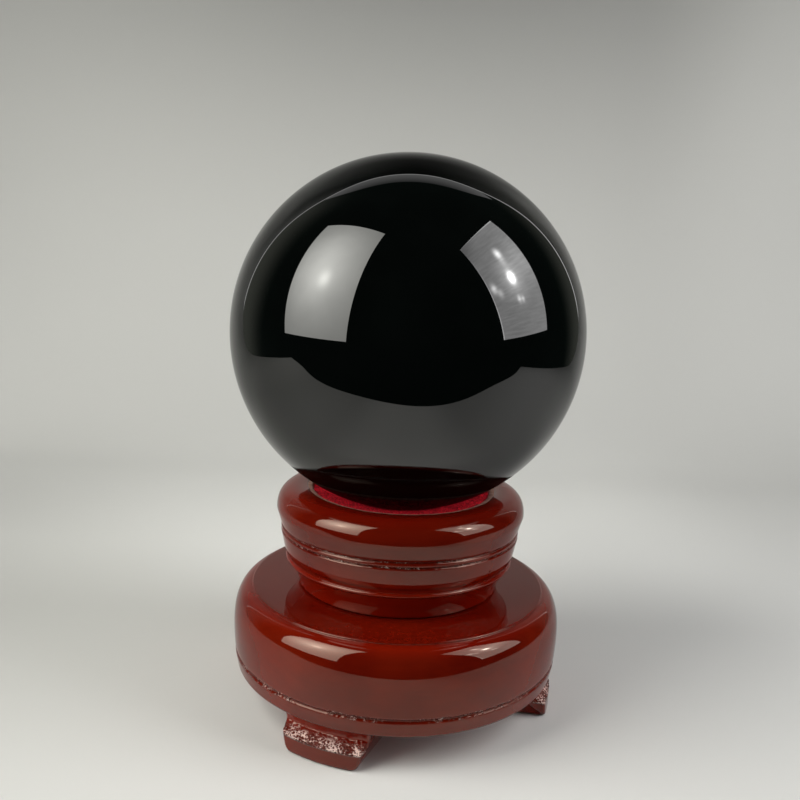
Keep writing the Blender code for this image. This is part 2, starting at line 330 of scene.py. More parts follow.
def rise(value, low, high):
    """0 below low, 1 above high, 3t^2 - 2t^3 between."""
    t = np.clip((value - low) / (high - low), 0, 1)
    return t * t * (3 - 2 * t)


def near(value, middle, width):
    """A bell of height 1 and the given width round the middle."""
    return np.exp(-((value - middle) / width) ** 2)


def link_mesh(name, vertices, loops, starts, material):
    """A mesh object from flat arrays: vertices, corner indices and each face's first corner."""
    mesh = bpy.data.meshes.new(name)
    mesh.vertices.add(len(vertices))
    mesh.vertices.foreach_set("co", vertices.astype(np.float32).ravel())
    mesh.loops.add(len(loops))
    mesh.loops.foreach_set("vertex_index", loops.astype(np.int32))
    mesh.polygons.add(len(starts))
    mesh.polygons.foreach_set("loop_start", starts.astype(np.int32))
    mesh.polygons.foreach_set("use_smooth", np.ones(len(starts), bool))
    mesh.update(calc_edges=True)
    mesh.validate()
    mesh.materials.append(material)
    made = bpy.data.objects.new(name, mesh)
    bpy.context.scene.collection.objects.link(made)
    return made


def closed_mesh(name, grid, material):
    """Closed surface of a columns by rows grid whose first and last rows are on the axis:
    quads between the rows, and fans of triangles round the two poles."""
    columns, rows = grid.shape[:2]
    inner = grid[:, 1:-1]
    kept = rows - 2
    vertices = np.concatenate([inner.reshape(-1, 3), grid[:1, 0], grid[:1, -1]])
    first, last = columns * kept, columns * kept + 1
    here = np.arange(columns)
    beside = (here + 1) % columns
    row = np.arange(kept - 1)
    a = (here[:, None] * kept + row).ravel()
    b = (beside[:, None] * kept + row).ravel()
    quads = np.stack([a, a + 1, b + 1, b], axis=1).ravel()
    top = np.stack([np.full(columns, first), here * kept, beside * kept], axis=1).ravel()
    bottom = np.stack([np.full(columns, last), beside * kept + kept - 1,
                       here * kept + kept - 1], axis=1).ravel()
    loops = np.concatenate([quads, top, bottom])
    sizes = np.concatenate([np.full(len(quads) // 4, 4), np.full(2 * columns, 3)])
    starts = np.concatenate([[0], np.cumsum(sizes)[:-1]])
    return link_mesh(name, vertices, loops, starts, material)


def patch_mesh(name, grid, material):
    """Open sheet of a grid of points, one quad between each four neighbours."""
    across, along = grid.shape[:2]
    index = np.arange(across * along).reshape(across, along)
    quads = np.stack([index[:-1, :-1], index[1:, :-1], index[1:, 1:], index[:-1, 1:]], axis=2)
    loops = quads.ravel()
    return link_mesh(name, grid.reshape(-1, 3), loops, np.arange(0, len(loops), 4), material)


# Shader expressions

class Value:
    """A socket that can be used in Python sums."""

    def __init__(self, tree, socket):
        self.tree = tree
        self.socket = socket

    def maths(self, operation, *others):
        """One Math node with this value first."""
        return self.tree.node("ShaderNodeMath", {"operation": operation}, [self, *others])

    def swapped(self, operation, other):
        """One Math node with this value second."""
        return self.tree.node("ShaderNodeMath", {"operation": operation}, [other, self])

    def __add__(self, other):
        return self.maths("ADD", other)

    __radd__ = __add__

    def __mul__(self, other):
        return self.maths("MULTIPLY", other)

    __rmul__ = __mul__

    def __sub__(self, other):
        return self.maths("SUBTRACT", other)

    def __rsub__(self, other):
        return self.swapped("SUBTRACT", other)

    def __pow__(self, other):
        return self.maths("POWER", other)

    def distance(self, middle):
        """How far the value is from the middle."""
        return (self - middle).maths("ABSOLUTE")

    def larger(self, other):
        """The larger of the two."""
        return self.maths("MAXIMUM", other)

    def rise(self, low, high):
        """0 at low, 1 at high, smooth between; low may be the larger."""
        return self.tree.node("ShaderNodeMapRange", {"interpolation_type": "SMOOTHSTEP"},
                              {"Value": self, "From Min": low, "From Max": high}, "Result")


class Tree:
    """A node tree that is built by expressions."""

    def __init__(self, nodes_of):
        nodes_of.use_nodes = True
        self.nodes = nodes_of.node_tree.nodes
        self.links = nodes_of.node_tree.links

    def node(self, kind, settings=None, sockets=None, output=0):
        """Add a node: settings first, then a value or a link for each socket named or numbered."""
        made = self.nodes.new(kind)
        for key, value in (settings or {}).items():
            setattr(made, key, value)
        pairs = sockets.items() if isinstance(sockets, dict) else enumerate(sockets or [])
        for key, value in pairs:
            if isinstance(value, Value):
                self.links.new(value.socket, made.inputs[key])
            else:
                made.inputs[key].default_value = value
        return Value(self, made.outputs[output])

    def coordinates(self):
        """Object coordinates."""
        return self.node("ShaderNodeTexCoord", output="Object")

    def axes(self, vector):
        """The three numbers of a vector."""
        split = self.node("ShaderNodeSeparateXYZ", sockets=[vector])
        return [Value(self, socket) for socket in split.socket.node.outputs]

    def stretched(self, vector, scale):
        """The vector times a scale along each axis."""
        return self.node("ShaderNodeVectorMath", {"operation": "MULTIPLY"}, [vector, scale])

    def noise(self, vector, scale, detail=2.0, roughness=0.5):
        """Noise from 0 to 1."""
        return self.node("ShaderNodeTexNoise", sockets={
            "Vector": vector, "Scale": scale, "Detail": detail, "Roughness": roughness})

    def blend(self, factor, first, second):
        """Colour mix."""
        made = self.nodes.new("ShaderNodeMix")
        made.data_type = "RGBA"
        for socket, value in ((made.inputs[0], factor), (made.inputs[6], first), (made.inputs[7], second)):
            if isinstance(value, Value):
                self.links.new(value.socket, socket)
            elif hasattr(value, "__len__"):
                socket.default_value = (*value[:3], 1.0)
            else:
                socket.default_value = value
        return Value(self, made.outputs[2])

    def tinted(self, tint, level):
        """The tint times the level."""
        return self.node("ShaderNodeVectorMath", {"operation": "SCALE"}, {0: tint, "Scale": level})

    def cells(self, vector, scale):
        """Distance to the nearest of scattered points, and three random numbers for each point."""
        distance = self.node("ShaderNodeTexVoronoi", {"feature": "F1"}, {"Vector": vector, "Scale": scale})
        chances = self.axes(Value(self, distance.socket.node.outputs["Color"]))
        return distance, chances

    def bump(self, height, distance, strength):
        """Bump node; the distance is the height of 1 in metres."""
        return self.node("ShaderNodeBump", sockets={
            "Height": height, "Distance": distance, "Strength": strength})


def principled(name, fixed):
    """A Principled material with uniform values on its sockets, its tree and its shader."""
    made = bpy.data.materials.new(name)
    tree = Tree(made)
    shader = tree.nodes["Principled BSDF"]
    for key, value in fixed.items():
        shader.inputs[key].default_value = value
    return made, tree, shader


def feed(tree, shader, **sockets):
    """Link values to the shader's sockets, named with _ for a space."""
    for key, value in sockets.items():
        tree.links.new(value.socket, shader.inputs[key.replace("_", " ")])


def polished_obsidian(ball):
    """Volcanic glass: near black, faintly clouded, mirror polished, with a few dust specks. Low on its front
    and back it mirrors little: painted shade, a dark matt shader mixed over the polish where it would mirror
    the shaded felt and wood."""
    made, tree, shader = principled("polished_obsidian", {"IOR": ball.gloss_index, "Metallic": 0.0})
    where = tree.coordinates()
    x, y, z = tree.axes(where)
    # Painted shade low on the front and back, narrowing to the sides
    above_foot = z - (BALL_CENTRE - BALL_RADIUS)
    painted_shade_mask = (above_foot + x * x * ball.painted_shade_bend).rise(ball.painted_shade_start, ball.painted_shade_end) * ball.painted_shade_share
    painted_shade_diffuse = tree.node("ShaderNodeBsdfDiffuse", sockets={"Color": (*ball.glass, 1.0)})
    mixed = tree.node("ShaderNodeMixShader", sockets=[painted_shade_mask, Value(tree, shader.outputs[0]), painted_shade_diffuse])
    tree.links.new(mixed.socket, tree.nodes["Material Output"].inputs["Surface"])
    cloud = tree.noise(where, 38.0, 4.0, 0.55).rise(0.42, 0.75)
    distance, chances = tree.cells(where, 260.0)
    speck = distance.rise(0.10, 0.05) * chances[0].rise(1.0 - ball.dust_share, 1.0 - ball.dust_share * 0.9)
    body = tree.blend(cloud, ball.glass, [value * 2.0 for value in ball.glass])
    smear = tree.noise(tree.stretched(where, (20.0, 20.0, 60.0)), 1.0, 3.0).rise(0.5, 0.8)
    feed(tree, shader, Base_Color=tree.blend(speck, body, ball.dust),
         Roughness=ball.polish + smear * 0.008 + speck * 0.5)
    return made


def torn_wood(tree, where):
    """Pattern of torn grain: short ragged cells, deep between them, denser in places."""
    distance, chances = tree.cells(tree.stretched(where, (1.0, 1.0, 1.6)), 1500.0)
    ragged = tree.noise(where, 2200.0, 3.0, 0.7)
    dense = tree.noise(where, 260.0, 2.0) - 0.5
    return distance * 0.6 + ragged * 0.8 + dense * 0.9


def broken_flecks(tree, where, finest, patches, onset):
    """Fine flecks that come and go in patches; finest and patches are scales of noise."""
    fine = tree.noise(where, finest, 3.0, 0.7).rise(onset, 0.60)
    return fine * tree.noise(where, patches, 2.0).rise(0.36, 0.56)


def lacquered_wood(name, lacquer, sides, grooves, torn, bare=None):
    """Stained hardwood under gloss lacquer. sides is the pair of radii between which the stain
    darkens to the sides' tone; grooves is a list of (height, half width) where the stain pools in
    the grooves and painted shade darkens the wood under the band and where cup and base meet; torn
    gives the mask of torn grain from the tree, the position, the radius and the height, whose crests
    take painted glints; bare is the radius inside which, and the height up to which, an edge is
    uncoated, with a painted shadow line just outside it."""
    made, tree, shader = principled(name, {"IOR": lacquer.gloss_index, "Metallic": 0.0,
                                           "Specular Tint": (*lacquer.gloss_tint, 1.0)})
    where = tree.coordinates()
    x, y, z = tree.axes(where)
    radius = (x * x + y * y) ** 0.5
    # Growth lines run along the board, across the axis
    board = tree.stretched(where, (16.0, 95.0, 140.0))
    growth = tree.noise(board, 1.0, 5.0, 0.6).rise(0.35, 0.70)
    fibre = tree.noise(tree.stretched(where, (90.0, 900.0, 900.0)), 1.0, 3.0, 0.65).rise(0.40, 0.66)
    blotch = tree.noise(where, 45.0, 3.0, 0.5).rise(0.38, 0.68)
    wood = tree.blend(radius.rise(*sides), lacquer.stain, lacquer.stain_side)
    wood = tree.blend(growth * 0.16 + blotch * 0.20, wood, lacquer.stain_light)
    wood = tree.blend(fibre * 0.06, wood, lacquer.dark_stain_and_shade)
    # Stain pools in the grooves; under the cup's band, at its foot and on the base's top the darkening is
    # painted shade
    pooled_stain_and_shade = 0.0
    for height, half_width in grooves:
        pooled_stain_and_shade = z.distance(height).rise(half_width, half_width * 0.25) + pooled_stain_and_shade
    ragged_edge = tree.noise(where, 700.0, 3.0, 0.6).rise(0.30, 0.62)
    wood = tree.blend(pooled_stain_and_shade * (ragged_edge * 0.25 + 0.30), wood, lacquer.dark_stain_and_shade)
    torn_mask = torn(tree, where, radius, z)
    grain = torn_wood(tree, where)
    # Torn grain: darker between its cells, with painted glints on its crests
    wood = tree.blend(torn_mask * grain.rise(0.55, 0.30) * 0.35, wood, lacquer.dark_stain_and_shade)
    wood = tree.blend(torn_mask * grain.rise(0.70, 0.92) * 0.85, wood, lacquer.painted_glint)
    # Nibs are specks of dust under the lacquer
    distance, chances = tree.cells(where, 300.0)
    nib = distance.rise(0.17, 0.05) * chances[1].rise(0.955, 0.965)
    if bare is not None:
        bare_radius, bare_top = bare
        brink = radius + (tree.noise(where, 260.0, 2.0, 0.5) - 0.5) * 0.9 * MM
        # Painted shadow: a dark line just outside the uncoated edge, where the lip steps down to the felt
        painted_shadow_line = brink.distance(bare_radius).rise(0.35 * MM, 0.08 * MM)
        painted_shadow_line = painted_shadow_line * z.rise(bare_top - 3.0 * MM, bare_top - 2.0 * MM)
        wood = tree.blend(painted_shadow_line * 0.8, wood, lacquer.dark_stain_and_shade)
        edge = brink.rise(bare_radius, bare_radius - 0.25 * MM)
        edge = edge * z.rise(bare_top - 4.0 * MM, bare_top - 3.0 * MM)
        chalky = tree.noise(where, 900.0, 3.0, 0.6).rise(0.38, 0.58)
        wood = tree.blend(edge * (chalky * 0.55 + 0.45), wood, lacquer.bare_wood)
    orange_peel = tree.noise(where, 330.0, 2.0, 0.4)
    waves = tree.noise(where, 90.0, 1.0, 0.4)
    height = (orange_peel * 0.003 + waves * 0.020 + nib * 0.10 + torn_mask * grain * 0.75) * MM
    rough = lacquer.gloss + torn_mask * (lacquer.torn_gloss - lacquer.gloss) + nib * 0.05
    if bare is not None:
        rough = rough + edge * 0.5
    feed(tree, shader, Base_Color=wood, Roughness=rough, Normal=tree.bump(height, 1.0, 0.9))
    return made


def torn_grooves(tree, where, radius, z):
    """Torn grain of the cup: only fine broken flecks along its two grooves, whose crests take painted glints.
    """
    cup = bpy.context.scene.stand_cup
    low = z.distance(CUP_BOTTOM + cup.groove_low + 0.15 * MM).rise(0.42 * MM, 0.20 * MM)
    high = z.distance(CUP_BOTTOM + cup.groove_high + 0.10 * MM).rise(0.30 * MM, 0.12 * MM)
    return (low + high * 0.6) * broken_flecks(tree, where, 900.0, 110.0, 0.52)


def torn_slopes(tree, where, radius, z):
    """Torn grain of the base: on the sawn slopes above the feet's lips, as a thin line along the lips'
    upper edges that carries a painted highlight and as broken flecks along the groove; the crests of all of
    it take painted glints."""
    base = bpy.context.scene.stand_base
    slope_top = base.lip_height + base.slope_rise
    face = BASE_RADIUS - base.foot_inset
    slope_foot = face - base.slope_depth
    slope = (z.rise(base.lip_height - 0.5 * MM, base.lip_height + 0.1 * MM)
             * z.rise(slope_top - 0.1 * MM, slope_top - 1.5 * MM)
             * radius.rise(slope_foot - 0.6 * MM, slope_foot - 0.1 * MM))
    groove_z = base.foot_height + base.groove_height
    along_groove = z.distance(groove_z + 0.1 * MM).rise(0.9 * MM, 0.3 * MM) * radius.rise(0.040, 0.045)
    # Painted highlight: a thin line along the lips' upper edges
    brink = z.distance(base.lip_height - 0.25 * MM).rise(0.45 * MM, 0.10 * MM)
    brink = brink * radius.rise(face - 0.9 * MM, face - 0.3 * MM)
    return slope + along_groove * broken_flecks(tree, where, 800.0, 90.0, 0.50) + brink * 0.6


def flocked_felt(name, felt, lift):
    """Felt in grains of deep and bright red, darkened next to the ball by painted shade; lift moves it
    towards the bright red."""
    made, tree, shader = principled(name, {"IOR": 1.45, "Specular IOR Level": 0.15, "Sheen Weight": 0.25,
                                           "Sheen Roughness": 0.5,
                                           "Sheen Tint": (1.0, 0.08, 0.10, 1.0),
                                           "Emission Strength": felt.painted_glow})
    where = tree.coordinates()
    x, y, z = tree.axes(where)
    pile = tree.noise(where, 1500.0, 4.0, 0.7)
    patch = tree.noise(where, 480.0, 3.0, 0.6)
    tone = pile.rise(0.46, 0.56) * 0.7 + patch.rise(0.42, 0.60) * 0.3 + lift
    red = tree.blend(tone, felt.deep, felt.bright)
    # Painted shade: the felt turns near black where the ball hangs close over it
    ragged_radius = (x * x + y * y) ** 0.5 + (pile - 0.5) * 2.0 * MM
    painted_contact_shade = ragged_radius.rise(felt.seat_radius + 1.8 * MM, felt.seat_radius + 0.2 * MM)
    red = tree.blend(painted_contact_shade * 0.96, red, (0.0, 0.0, 0.0))
    # The emission in the felt's red is painted light that brightens it
    feed(tree, shader, Base_Color=red, Emission_Color=red, Roughness=0.85 + pile * 0.15,
         Normal=tree.bump(pile * 0.5 + patch * 0.5, 0.5 * MM, 0.7))
    return made


# The pieces' surfaces

def sphere(settings):
    """Ball: radius times (sin p sin a, -sin p cos a, cos p) for p from pole to pole."""
    polar = np.linspace(0, math.pi, settings.rings + 1)
    line = np.stack([BALL_RADIUS * np.sin(polar), BALL_CENTRE + BALL_RADIUS * np.cos(polar)], axis=1)
    line[[0, -1], 0] = 0
    return turned(line, settings.sides)


def felt_top(radius, felt):
    """Felt's upper face: parallel to the ball inside the seat, then an even rise to the edge."""
    def under(r):
        return BALL_CENTRE - np.sqrt(BALL_RADIUS ** 2 - r ** 2) - felt.ball_gap
    seat = under(felt.seat_radius)
    edge = CUP_TOP - felt.edge_drop
    slope = (edge - seat) / (FELT_RADIUS - felt.seat_radius)
    return np.where(radius <= felt.seat_radius, under(np.minimum(radius, felt.seat_radius)),
                    seat + slope * (radius - felt.seat_radius))


def felt_grid(felt):
    """Felt: its upper face, a soft edge and its lower face, the upper face lifted by a pile
    of noise that dies out under the ball."""
    radii = np.linspace(0, FELT_RADIUS, 96)
    top = np.stack([radii, felt_top(radii, felt)], axis=1)
    edge = np.linspace(0, 1, 6)[1:-1, None]
    outer = top[-1] + edge * np.array([0, -felt.thickness]) - [[0.15 * MM, 0]] * (edge * (edge - 1)) * -4
    below = np.stack([radii[::-6], felt_top(radii[::-6], felt) - felt.thickness], axis=1)
    grid = turned(np.concatenate([top, outer, below]), 288)
    radius = np.hypot(grid[..., 0], grid[..., 1])
    clear = rise(radius, felt.seat_radius, felt.seat_radius + 3 * MM)
    is_top = (np.arange(grid.shape[1]) < len(radii))[None]
    pile = 0.16 * value_noise(grid, 0.55 * MM, 3) + 0.14 * value_noise(grid, 1.6 * MM, 4)
    grid[..., 2] += is_top * pile * (0.15 + 0.85 * clear) * MM
    return grid


def fibre_mesh(name, felt, material):
    """Pile of the felt: slim three-sided spikes at random places and leans on the visible ring,
    each a closed form of four faces, shorter where the ball is near."""
    rng = np.random.default_rng(11)
    count = felt.fibres
    inner = felt.seat_radius - 0.5 * MM
    outer = FELT_RADIUS - 0.15 * MM
    radius = np.sqrt(rng.uniform(inner ** 2, outer ** 2, count))
    angle = rng.uniform(0, math.tau, count)
    root = np.stack([radius * np.sin(angle), -radius * np.cos(angle),
                     felt_top(radius, felt) - 0.12 * MM], axis=1)
    room = BALL_CENTRE - np.sqrt(BALL_RADIUS ** 2 - radius ** 2) - root[:, 2]
    tall = np.minimum(felt.nap * rng.uniform(0.55, 1.25, count), room * 0.85)
    lean = rng.normal(0, 0.55, (count, 2))
    tip = root + np.stack([lean[:, 0] * tall, lean[:, 1] * tall, tall], axis=1)
    thick = rng.uniform(0.045, 0.085, count) * MM
    spin = rng.uniform(0, math.tau, count)
    corners = [root + np.stack([thick * np.cos(spin + turn), thick * np.sin(spin + turn), 0 * spin], axis=1)
               for turn in (0, math.tau / 3, 2 * math.tau / 3)]
    vertices = np.stack([*corners, tip], axis=1).reshape(-1, 3)
    first = 4 * np.arange(count)[:, None]
    faces = (first[:, :, None] + np.array([[0, 1, 3], [1, 2, 3], [2, 0, 3], [0, 2, 1]])).reshape(-1)
    return link_mesh(name, vertices, faces, np.arange(0, len(faces), 3), material)


def cup_line(cup, felt):
    """Cup's outline from the recess floor over lip, shoulder, grooves, band, bead and cove to its foot."""
    floor_radii = np.linspace(0, FELT_RADIUS, 12)
    floor = np.stack([floor_radii, felt_top(floor_radii, felt) - felt.thickness - felt.ball_gap], axis=1)
    mouth = cup.recess_radius
    corner = [(mouth, floor[-1, 1])]
    crest = CUP_RADIUS - cup.shoulder_width
    lip = arc((crest, CUP_TOP - cup.lip_drop), (crest - mouth, cup.lip_drop), 180, 90, 16)
    shoulder = swelling((crest, CUP_TOP), (CUP_RADIUS, CUP_TOP - cup.shoulder_height), 0.0,
                        cup.shoulder_fullness, 36)
    side = CUP_RADIUS - cup.groove_inset
    upper = groove(side, CUP_BOTTOM + cup.groove_high, cup.groove_width, cup.groove_depth)
    lower = groove(side, CUP_BOTTOM + cup.groove_low, cup.groove_width, cup.groove_depth)
    band_radius = CUP_RADIUS - cup.band_inset
    bead_line = CUP_RADIUS - cup.bead_inset - cup.bead_radius
    band_start = CUP_BOTTOM + cup.band_height + cup.band_round
    ease = 0.24 * MM
    walls = eased([shoulder[-1], *upper, *lower, (band_radius, band_start)],
                  [1.2 * MM, ease * 0.6, ease, ease, ease * 0.6, ease])
    lean = (lower[-1][0] - band_radius) / (lower[-1][1] - band_start)
    bead_middle = CUP_BOTTOM + cup.cove_height + cup.bead_radius
    under = corner_curve((band_radius, band_start), (band_radius - lean * cup.band_round,
                                                     band_start - cup.band_round),
                         (bead_line, bead_middle + cup.bead_radius), 14)
    bead = arc((bead_line, bead_middle), (cup.bead_radius, cup.bead_radius), 90, -90, 13)
    foot = CUP_RADIUS - cup.foot_inset
    t = np.linspace(0, 1, 14)[1:, None]
    start, end = bead[-1], np.array([foot, CUP_BOTTOM + cup.foot_round])
    cove = start + (end - start) * t + np.array([[-cup.foot_round, 0]]) * 4 * t * (1 - t)
    sole = arc((foot - cup.foot_round, CUP_BOTTOM + cup.foot_round),
               (cup.foot_round, cup.foot_round), 0, -90, 5)
    return joined(floor, corner, lip, shoulder, walls, under, bead, cove, sole, [(0, CUP_BOTTOM)])


def cup_grid(cup, felt):
    """Cup: the turned outline, with the hand's unevenness: slow swells, and chatter at the grooves."""
    grid = turned(refined(cup_line(cup, felt), 0.9 * MM), 384)
    z = grid[..., 2]
    radius = np.hypot(grid[..., 0], grid[..., 1])
    outside = rise(radius, cup.recess_radius + 1.5 * MM, cup.recess_radius + 3 * MM)
    swell = 0.04 * value_noise(grid, 16 * MM, 5)
    at_low = near(z, CUP_BOTTOM + cup.groove_low, 0.5 * MM)
    at_high = near(z, CUP_BOTTOM + cup.groove_high, 0.5 * MM)
    stretched = grid * np.array([1, 1, 0.35])
    chatter = 0.035 * value_noise(stretched, 0.8 * MM, 6) + 0.03 * value_noise(stretched, 2.5 * MM, 7)
    return grid + outward(grid) * (outside * (swell + (at_low + at_high) * chatter) * MM)[..., None]


def disc_line(base):
    """Base's outline from the axis over the flat top, step, side and groove to the lower edge."""
    disc_edge = BASE_RADIUS - base.disc_inset
    widest = base.foot_height + base.widest_height
    side = swelling((disc_edge, BASE_TOP - base.step), (BASE_RADIUS, widest), base.side_slope,
                    base.side_fullness, 48)
    top = eased([(0, BASE_TOP), (disc_edge, BASE_TOP), side[0], side[3]], [0.56 * MM, 0.20 * MM])
    groove_height = base.foot_height + base.groove_height
    fall = np.linspace(0, (widest - groove_height) / (widest - base.foot_height), 12)[1:]
    lower_side = np.stack([BASE_RADIUS - base.edge_inset * fall ** 2,
                           widest - fall * (widest - base.foot_height)], axis=1)
    lower_side = lower_side[lower_side[:, 1] > groove_height + base.groove_width / 2]
    groove_radius = BASE_RADIUS - base.edge_inset * fall[-1] ** 2
    lower_edge = BASE_RADIUS - base.edge_inset
    edge = arc((lower_edge - base.edge_round, base.foot_height + base.edge_round),
               (base.edge_round, base.edge_round), 0, -90, 8)
    cut = groove(groove_radius, groove_height, base.groove_width, base.groove_depth)
    lower = eased([lower_side[-1], *cut, edge[0]], [0.34 * MM, 0.30 * MM, 0.34 * MM], 6)
    return joined(top, side[3:], lower_side, lower, edge)


def foot_line(base):
    """Outline of a foot from the base's lower edge: hollow neck, sawn slope, lip, outer face,
    sole and inner face, with the radii that its points take where there is no foot."""
    outer = BASE_RADIUS - base.foot_inset
    inner = outer - base.foot_depth
    neck_top = BASE_RADIUS - base.edge_inset - base.edge_round
    slope_radius = outer - base.slope_depth
    slope_height = base.lip_height + base.slope_rise
    neck = arc((neck_top, slope_height), (neck_top - slope_radius, base.foot_height - slope_height),
               90, 180, 12)
    face = (outer, base.lip_height * 0.7)
    slope = refined(eased([neck[-1], (outer, base.lip_height), face], [0.5 * MM]), 0.24 * MM)
    rest = refined(eased([face, (outer, 0), (inner, 0), (inner, base.foot_height)], [1.0 * MM, 0.6 * MM]),
                   1.2 * MM)
    line = joined(refined(neck, 0.5 * MM), slope, rest)
    is_neck = line[:, 1] > slope_height + 0.01 * MM
    is_neck &= line[:, 0] > inner + base.foot_depth / 2
    along = np.concatenate([[0], np.cumsum(np.linalg.norm(np.diff(line, axis=0), axis=1))])
    neck_end = along[is_neck][-1]
    passed = inner + base.foot_depth * 0.36
    flat = np.interp(along, [0, neck_end, along[-1]], [neck_top, passed, inner])
    return line, flat


def foot_columns(base):
    """Columns round the base: for each its foot's angle, how far across the foot it is (-1 to 1),
    its edge easing angle, and for columns between feet the share of the gap that it has passed."""
    across = np.linspace(-1, 1, 96)
    ease = np.radians([25, 45, 65, 90])
    order = np.argsort(FOOT_ANGLES)
    columns = []
    for place_in_order in range(4):
        angle = FOOT_ANGLES[order[place_in_order]]
        following = FOOT_ANGLES[order[(place_in_order + 1) % 4]]
        following += math.tau * (following < angle)
        columns += [(angle, angle, -1, turn, 0) for turn in ease[::-1]]
        columns += [(angle, angle, share_across, 0, 0) for share_across in across]
        columns += [(angle, angle, 1, turn, 0) for turn in ease]
        gap = max(6, round(math.degrees(following - angle) / 1.6))
        columns += [(angle, following, 0, -1, passed) for passed in np.linspace(0, 1, gap)]
    return np.array(columns)


def base_grid(base):
    """Base as one surface. Each column is the disc's outline, then a foot's outline where it
    crosses a foot, or the same points laid flat on the underside where it doesn't, then the
    underside's centre. Inside a foot the columns are parallel, so its sides are flat and slanted."""
    disc = refined(disc_line(base), 1.6 * MM)
    line, flat = foot_line(base)
    shift = np.gradient(line, axis=0)
    normal = np.stack([-shift[:, 1], shift[:, 0]], axis=1)
    normal /= np.maximum(np.linalg.norm(normal, axis=1, keepdims=True), 1e-12)
    settled = np.minimum(rise(np.arange(len(line)), 0, 4), rise(np.arange(len(line))[::-1], 0, 4))
    slant = (base.foot_top - base.foot_bottom) / 2 / base.foot_height
    half_top = base.foot_top / 2
    soft = base.foot_soft
    side_gap = 0.30 * MM
    data = foot_columns(base)
    angle, following, across, turn, passed = (data[:, i:i + 1] for i in range(5))
    between = turn < 0
    turn = np.where(between, 0, turn)
    # Foot columns
    pulled = soft * (1 - np.cos(turn))
    radius = line[None, :, 0] - normal[None, :, 0] * pulled * settled
    height = line[None, :, 1] - normal[None, :, 1] * pulled * settled
    corner = np.clip(base.foot_corner - height, 0, base.foot_corner)
    half = (base.foot_bottom / 2 + slant * height
            - base.foot_corner + np.sqrt(base.foot_corner ** 2 - corner ** 2))
    eased_half = half - soft * (1 - np.sin(turn)) * (np.abs(across) == 1)
    eased_half = np.where(turn == 0, half - soft, eased_half)
    sideways = across * eased_half
    inside = np.sqrt(np.maximum(radius ** 2 - sideways ** 2, 0))
    foot = np.stack([np.sin(angle) * inside + np.cos(angle) * sideways,
                     -np.cos(angle) * inside + np.sin(angle) * sideways, height], axis=2)
    # Columns between feet, flat on the underside
    edge = half_top + side_gap
    from_angle = angle + np.arcsin(edge / flat[None])
    to_angle = following - np.arcsin(edge / flat[None])
    way = from_angle + (to_angle - from_angle) * passed
    ground = np.stack([flat[None] * np.sin(way), -flat[None] * np.cos(way),
                       np.full_like(way, base.foot_height)], axis=2)
    ring = np.where(between[..., None], ground, foot)
    # Disc above and centre of the underside below follow each column's first and last point
    def heading(points):
        return np.arctan2(points[:, 0], -points[:, 1])[:, None]
    start, end = heading(ring[:, 0]), heading(ring[:, -1])
    body = disc[:-1]
    upper = np.stack([body[None, :, 0] * np.sin(start), -body[None, :, 0] * np.cos(start),
                      body[None, :, 1] + 0 * start], axis=2)
    radii = np.linspace(flat[-1], 0, 8)[1:]
    lower = np.stack([radii[None] * np.sin(end), -radii[None] * np.cos(end),
                      base.foot_height + 0 * radii[None] * end], axis=2)
    return np.concatenate([upper, ring, lower], axis=1)


def worn_base(base):
    """Base with its unevenness: slow swells, chatter in the groove, torn chips on the slopes."""
    grid = base_grid(base)
    z = grid[..., 2]
    radius = np.hypot(grid[..., 0], grid[..., 1])
    outside = rise(radius, 0.030, 0.036) * rise(z, base.foot_height + 0.3 * MM, base.foot_height + 2 * MM)
    swell = 0.05 * value_noise(grid, 18 * MM, 15) * outside
    groove_z = base.foot_height + base.groove_height
    stretched = grid * np.array([1, 1, 0.4])
    chatter = 0.06 * value_noise(stretched, 0.9 * MM, 16) + 0.05 * value_noise(stretched, 2.8 * MM, 17)
    chatter = chatter * near(z, groove_z, 0.9 * MM) * (radius > 0.040)
    slope_top = base.lip_height + base.slope_rise
    slope = rise(z, base.lip_height - 0.7 * MM, base.lip_height)
    slope = slope * rise(-z, -slope_top - 0.6 * MM, -slope_top)
    slope = slope * (radius > BASE_RADIUS - base.foot_inset - base.slope_depth - 0.5 * MM)
    chips = 0.15 * value_noise(grid, 0.6 * MM, 18) + 0.20 * value_noise(grid, 1.5 * MM, 19)
    return grid + outward(grid) * ((swell + chatter + slope * chips) * MM)[..., None]


# Operators

class MakeBall(bpy.types.Operator):
    """Make the polished ball"""
    bl_idname = "stand.make_ball"
    bl_label = "Make ball"

    def execute(self, context):
        settings = context.scene.stand_ball
        ball = closed_mesh("obsidian_ball", sphere(settings), polished_obsidian(settings))
        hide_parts("ball")
        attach(ball, "root")
        return {"FINISHED"}


class MakeFelt(bpy.types.Operator):
    """Make the felt and its standing fibres"""
    bl_idname = "stand.make_felt"
    bl_label = "Make felt"

    def execute(self, context):
        felt = context.scene.stand_felt
        liner = closed_mesh("felt_liner", felt_grid(felt), flocked_felt("felt_ground", felt, 0.0))
        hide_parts("seat_felt")
        pile = fibre_mesh("felt_fibres", felt, flocked_felt("felt_pile", felt, 0.2))
        for piece in (liner, pile):
            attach(piece, "root")
        return {"FINISHED"}


